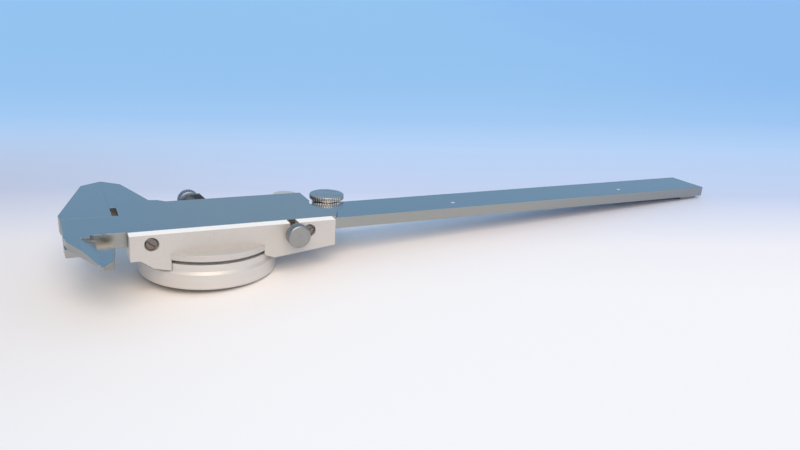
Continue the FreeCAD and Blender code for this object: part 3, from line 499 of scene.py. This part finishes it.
# Housing screws, up through the deck into the back plate.
size = dict(head=1.8, edge=0.2, tall=1.1, stem=1.0, sides=40, slot=0.45, deep=0.55, soft=0.04,
            centres=((6.6, 14.2), (20.06, 13.2), (32.06, 13.2), (49.5, 14.2)), spins=(0.3, 1.9, 2.6, 1.2))
low, high, middle = boxOf("housing_screws")
screwSet("housing_screws_slotted", slottedScrew("deck_screw", size, (high.z - low.z) / mm),
         [(x * mm, y * mm, low.z) for x, y in size["centres"]],
         [(0, 0, spin) for spin in size["spins"]], "slider", "screw_steel", "housing_screws")

# End stop screws, up into the beam.
size = dict(head=1.8, edge=0.08, tall=0.6, stem=1.0, sides=40, slot=0.45, deep=0.45, soft=0.03,
            spins=(0.5, 1.4))
low, high, middle = boxOf("end_stop_screws")
radius = size["head"] * mm
screwSet("end_stop_screws_slotted", slottedScrew("stop_screw", size, (high.z - low.z) / mm),
         [(middle.x, low.y + radius, low.z), (middle.x, high.y - radius, low.z)],
         [(0, 0, spin) for spin in size["spins"]], "beam", "screw_steel", "end_stop_screws")
print("slotted screws done")


# Printed marks
inkThick = 0.03


def markAt(length, width, place, turn):
    return dict(size=(width * mm, length * mm), place=place, turn=turn)


def markSet(name, marks, body, slot):
    # Thin bars, half sunk in the face that they are printed on.
    bpy.ops.object.select_all(action="DESELECT")
    bpy.ops.mesh.primitive_cube_add(size=1)
    first = newPiece("mark")
    bars = []
    for mark in marks:
        bar = copied(first, mark["place"], (0, 0, mark["turn"]))
        bar.scale = (*mark["size"], inkThick * mm)
        bars.append(bar)
    bpy.data.objects.remove(first)
    finishedAs(joined(name, bars), body, slot, look=markInk)


def numberSet(name, numbers, size, body, slot):
    # Plain figures that face down, so they are turned over about X.
    made = []
    for text, place in numbers:
        bpy.ops.object.select_all(action="DESELECT")
        bpy.ops.object.text_add(location=place, rotation=(math.pi, 0, 0))
        figure = bpy.context.active_object
        figure.data.body = text
        figure.data.align_x = "CENTER"
        figure.data.align_y = "CENTER"
        figure.data.size = size * mm
        figure.data.extrude = inkThick / 2 * mm
        figure.data.resolution_u = 3
        alone(figure)
        bpy.ops.object.convert(target="MESH")
        made.append(bpy.context.active_object)
    finishedAs(joined(name, made), body, slot, look=markInk)


# Dial: a hundred divisions of 0.05 mm to the turn, with a figure at each whole millimetre, clockwise from -Y.
dial = dict(divisions=100, outer=17.3, short=1.3, half=2.0, long=2.8, bold=0.22, fine=0.13, whole=5,
            figures=12.4, size=2.9)
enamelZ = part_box("dial_plate")[0].z


def dialPlace(out, turn):
    return dialCentre[0] + out * mm * math.sin(turn), dialCentre[1] - out * mm * math.cos(turn), enamelZ


marks = []
for i in range(dial["divisions"]):
    length = dial["long"] if i % 20 == 0 else dial["half"] if i % 10 == 0 else dial["short"]
    width = dial["bold"] if i % 10 == 0 else dial["fine"]
    turn = 2 * math.pi * i / dial["divisions"]
    marks.append(markAt(length, width, dialPlace(dial["outer"] - length / 2, turn), turn))
markSet("dial_divisions", marks, "bezel_ring", "dial_enamel")
figures = [(str(i), dialPlace(dial["figures"], 2 * math.pi * i / dial["whole"]))
           for i in range(dial["whole"])]
numberSet("dial_figures", figures, dial["size"], "bezel_ring", "dial_enamel")

# Beam: a millimetre scale along the far edge of the face.
scale = dict(start=2.4, span=150, edge=7.85, short=1.3, half=1.8, long=2.4, bold=0.16, fine=0.11, size=1.7,
             figureY=4.55)
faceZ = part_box("beam")[0].z
marks = []
for i in range(scale["span"] + 1):
    length = scale["long"] if i % 10 == 0 else scale["half"] if i % 5 == 0 else scale["short"]
    width = scale["bold"] if i % 10 == 0 else scale["fine"]
    place = ((scale["start"] + i) * mm, (scale["edge"] - length / 2) * mm, faceZ)
    marks.append(markAt(length, width, place, 0))
markSet("beam_scale", marks, "beam", "beam_steel")
figures = [(str(i), ((scale["start"] + i) * mm, scale["figureY"] * mm, faceZ))
           for i in range(0, scale["span"] + 1, 10)]
numberSet("beam_figures", figures, scale["size"], "beam", "beam_steel")
print("marks and figures done")


# Floor, backdrop, light and camera

# The floor touches the bezel's rim and the stop at the beam's end, as the table does.
ground = dict(rest=(46.3, -16.09), end=(220.6, -5.75), size=9.0, heading=26.2, reach=0.8, roughness=0.75,
              sheen=(0.8, 0.82, 0.88, 1), sheenShare=0.04)
fade = [(0.0, (0.96, 0.955, 0.96)), (0.045, (0.92, 0.91, 0.94)), (0.12, (0.57, 0.66, 0.87)),
        (0.215, (0.49, 0.67, 0.93)), (0.32, (0.35, 0.59, 0.90)), (0.49, (0.29, 0.55, 0.87)),
        (1.0, (0.275, 0.54, 0.87))]
# The first patch darkens the sheet towards the near left, as a painted falloff of light; the second tints it
# blue to the far right.
shadeAndTintPatches = [dict(colour=(0.42, 0.4, 0.44, 1), across=(0.07, -0.14), away=(0.25, 0.08), share=0.4),
         dict(colour=(0.22, 0.46, 0.88, 1), across=(0.12, 0.5), away=(0.0, 0.4), share=0.5)]
slope = math.atan2(ground["end"][1] - ground["rest"][1], ground["end"][0] - ground["rest"][0])
bpy.ops.object.select_all(action="DESELECT")
rest = (ground["rest"][0] * mm, 0, ground["rest"][1] * mm)
bpy.ops.mesh.primitive_plane_add(size=ground["size"], location=rest, rotation=(0, -slope, 0))
floor = newPiece("table")
settle(floor)
finish = Finish("table_sheet")
turnedPlace = finish.add("ShaderNodeMapping", None,
                         {"Vector": finish.place, "Rotation": (0, 0, math.radians(ground["heading"]))})
split = finish.add("ShaderNodeSeparateXYZ", None, {0: turnedPlace})
away, across = split.out("Y"), split.out("X")
tone = finish.add("ShaderNodeValToRGB", {"stops": fade}, {0: away / ground["reach"]})
for patch in shadeAndTintPatches:
    where = finish.span(across, *patch["across"]) * finish.span(away, *patch["away"])
    tone = finish.mix(where * patch["share"], tone, patch["colour"])
tone = finish.mix(finish.noise(3.0, detail=2.0) * ground["sheenShare"], tone, ground["sheen"])
sheet = finish.add("ShaderNodeBsdfPrincipled", None, {"Base Color": tone, "Roughness": ground["roughness"]})
below = finish.add("ShaderNodeBsdfTransparent")
fromBelow = finish.add("ShaderNodeNewGeometry").out("Backfacing")
finish.show(finish.add("ShaderNodeMixShader", None, {0: fromBelow, 1: sheet, 2: below}))
floor.data.materials.append(finish.owner)

# Backdrop: pale blue for what looks at it or mirrors it. As a light it is dim and neutral from the front,
# blue from behind and paler from the top. The heights and the heading say where one colour turns to the next.
air = dict(low=(0.80, 0.86, 0.95, 1), horizon=(0.30, 0.55, 0.88, 1), blue=(0.262, 0.44, 0.66, 1),
           high=(0.78, 0.80, 0.84, 1), front=(0.24, 0.23, 0.23, 1), back=(0.56, 0.98, 1.42, 1),
           top=(0.44, 0.53, 0.63, 1))
turns = dict(horizon=(-0.25, 0.0), blue=(0.04, 0.16), high=(0.55, 0.9), back=(-0.4, 0.6), top=(0.45, 0.85),
             heading=(0.75, 0.66))
world = bpy.data.worlds.new("studio")
bpy.context.scene.world = world
finish = Finish("studio", world)
split = finish.add("ShaderNodeSeparateXYZ", None, {0: finish.add("ShaderNodeTexCoord").out("Generated")})
upward = split.out("Z")
behind = split.out("X") * turns["heading"][0] + split.out("Y") * turns["heading"][1]
sky = finish.mix(finish.span(upward, *turns["horizon"]), air["low"], air["horizon"])
sky = finish.mix(finish.span(upward, *turns["blue"]), sky, air["blue"])
sky = finish.mix(finish.span(upward, *turns["high"]), sky, air["high"])
given = finish.mix(finish.span(behind, *turns["back"]), air["front"], air["back"])
given = finish.mix(finish.span(upward, *turns["top"]), given, air["top"])
path = finish.add("ShaderNodeLightPath")
tone = finish.mix(path.out("Is Diffuse Ray"), sky, given)
light = finish.add("ShaderNodeBackground", None, {"Color": tone, "Strength": 1.0})
finish.add("ShaderNodeOutputWorld", None, {"Surface": light})

# One wide soft key from the front left, so far away that the whole table is lit alike.
key = dict(aim=(0.22, 1.05, -1.0), spread=50, strength=2.5, colour=(1.0, 0.79, 0.6))
lamp = bpy.data.lights.new("wide_key", "SUN")
lamp.angle = math.radians(key["spread"])
lamp.energy = key["strength"]
lamp.color = key["colour"]
holder = bpy.data.objects.new("wide_key", lamp)
bpy.context.scene.collection.objects.link(holder)
holder.rotation_euler = Vector(key["aim"]).to_track_quat("-Z", "Y").to_euler()

view = dict(place=(-15.635, -203.255, 65.917), angles=(72.013, -3.611, -26.204), lens=32.06, sensor=36,
            near=0.005, far=50)
camera = bpy.data.cameras.new("photo_view")
camera.sensor_width = view["sensor"]
camera.sensor_fit = "HORIZONTAL"
camera.lens = view["lens"]
camera.clip_start = view["near"]
camera.clip_end = view["far"]
holder = bpy.data.objects.new("photo_view", camera)
bpy.context.scene.collection.objects.link(holder)
holder.location = [part * mm for part in view["place"]]
holder.rotation_euler = Euler([math.radians(angle) for angle in view["angles"]])
bpy.context.scene.camera = holder
bpy.context.scene.view_settings.view_transform = "Standard"
print("stage done")
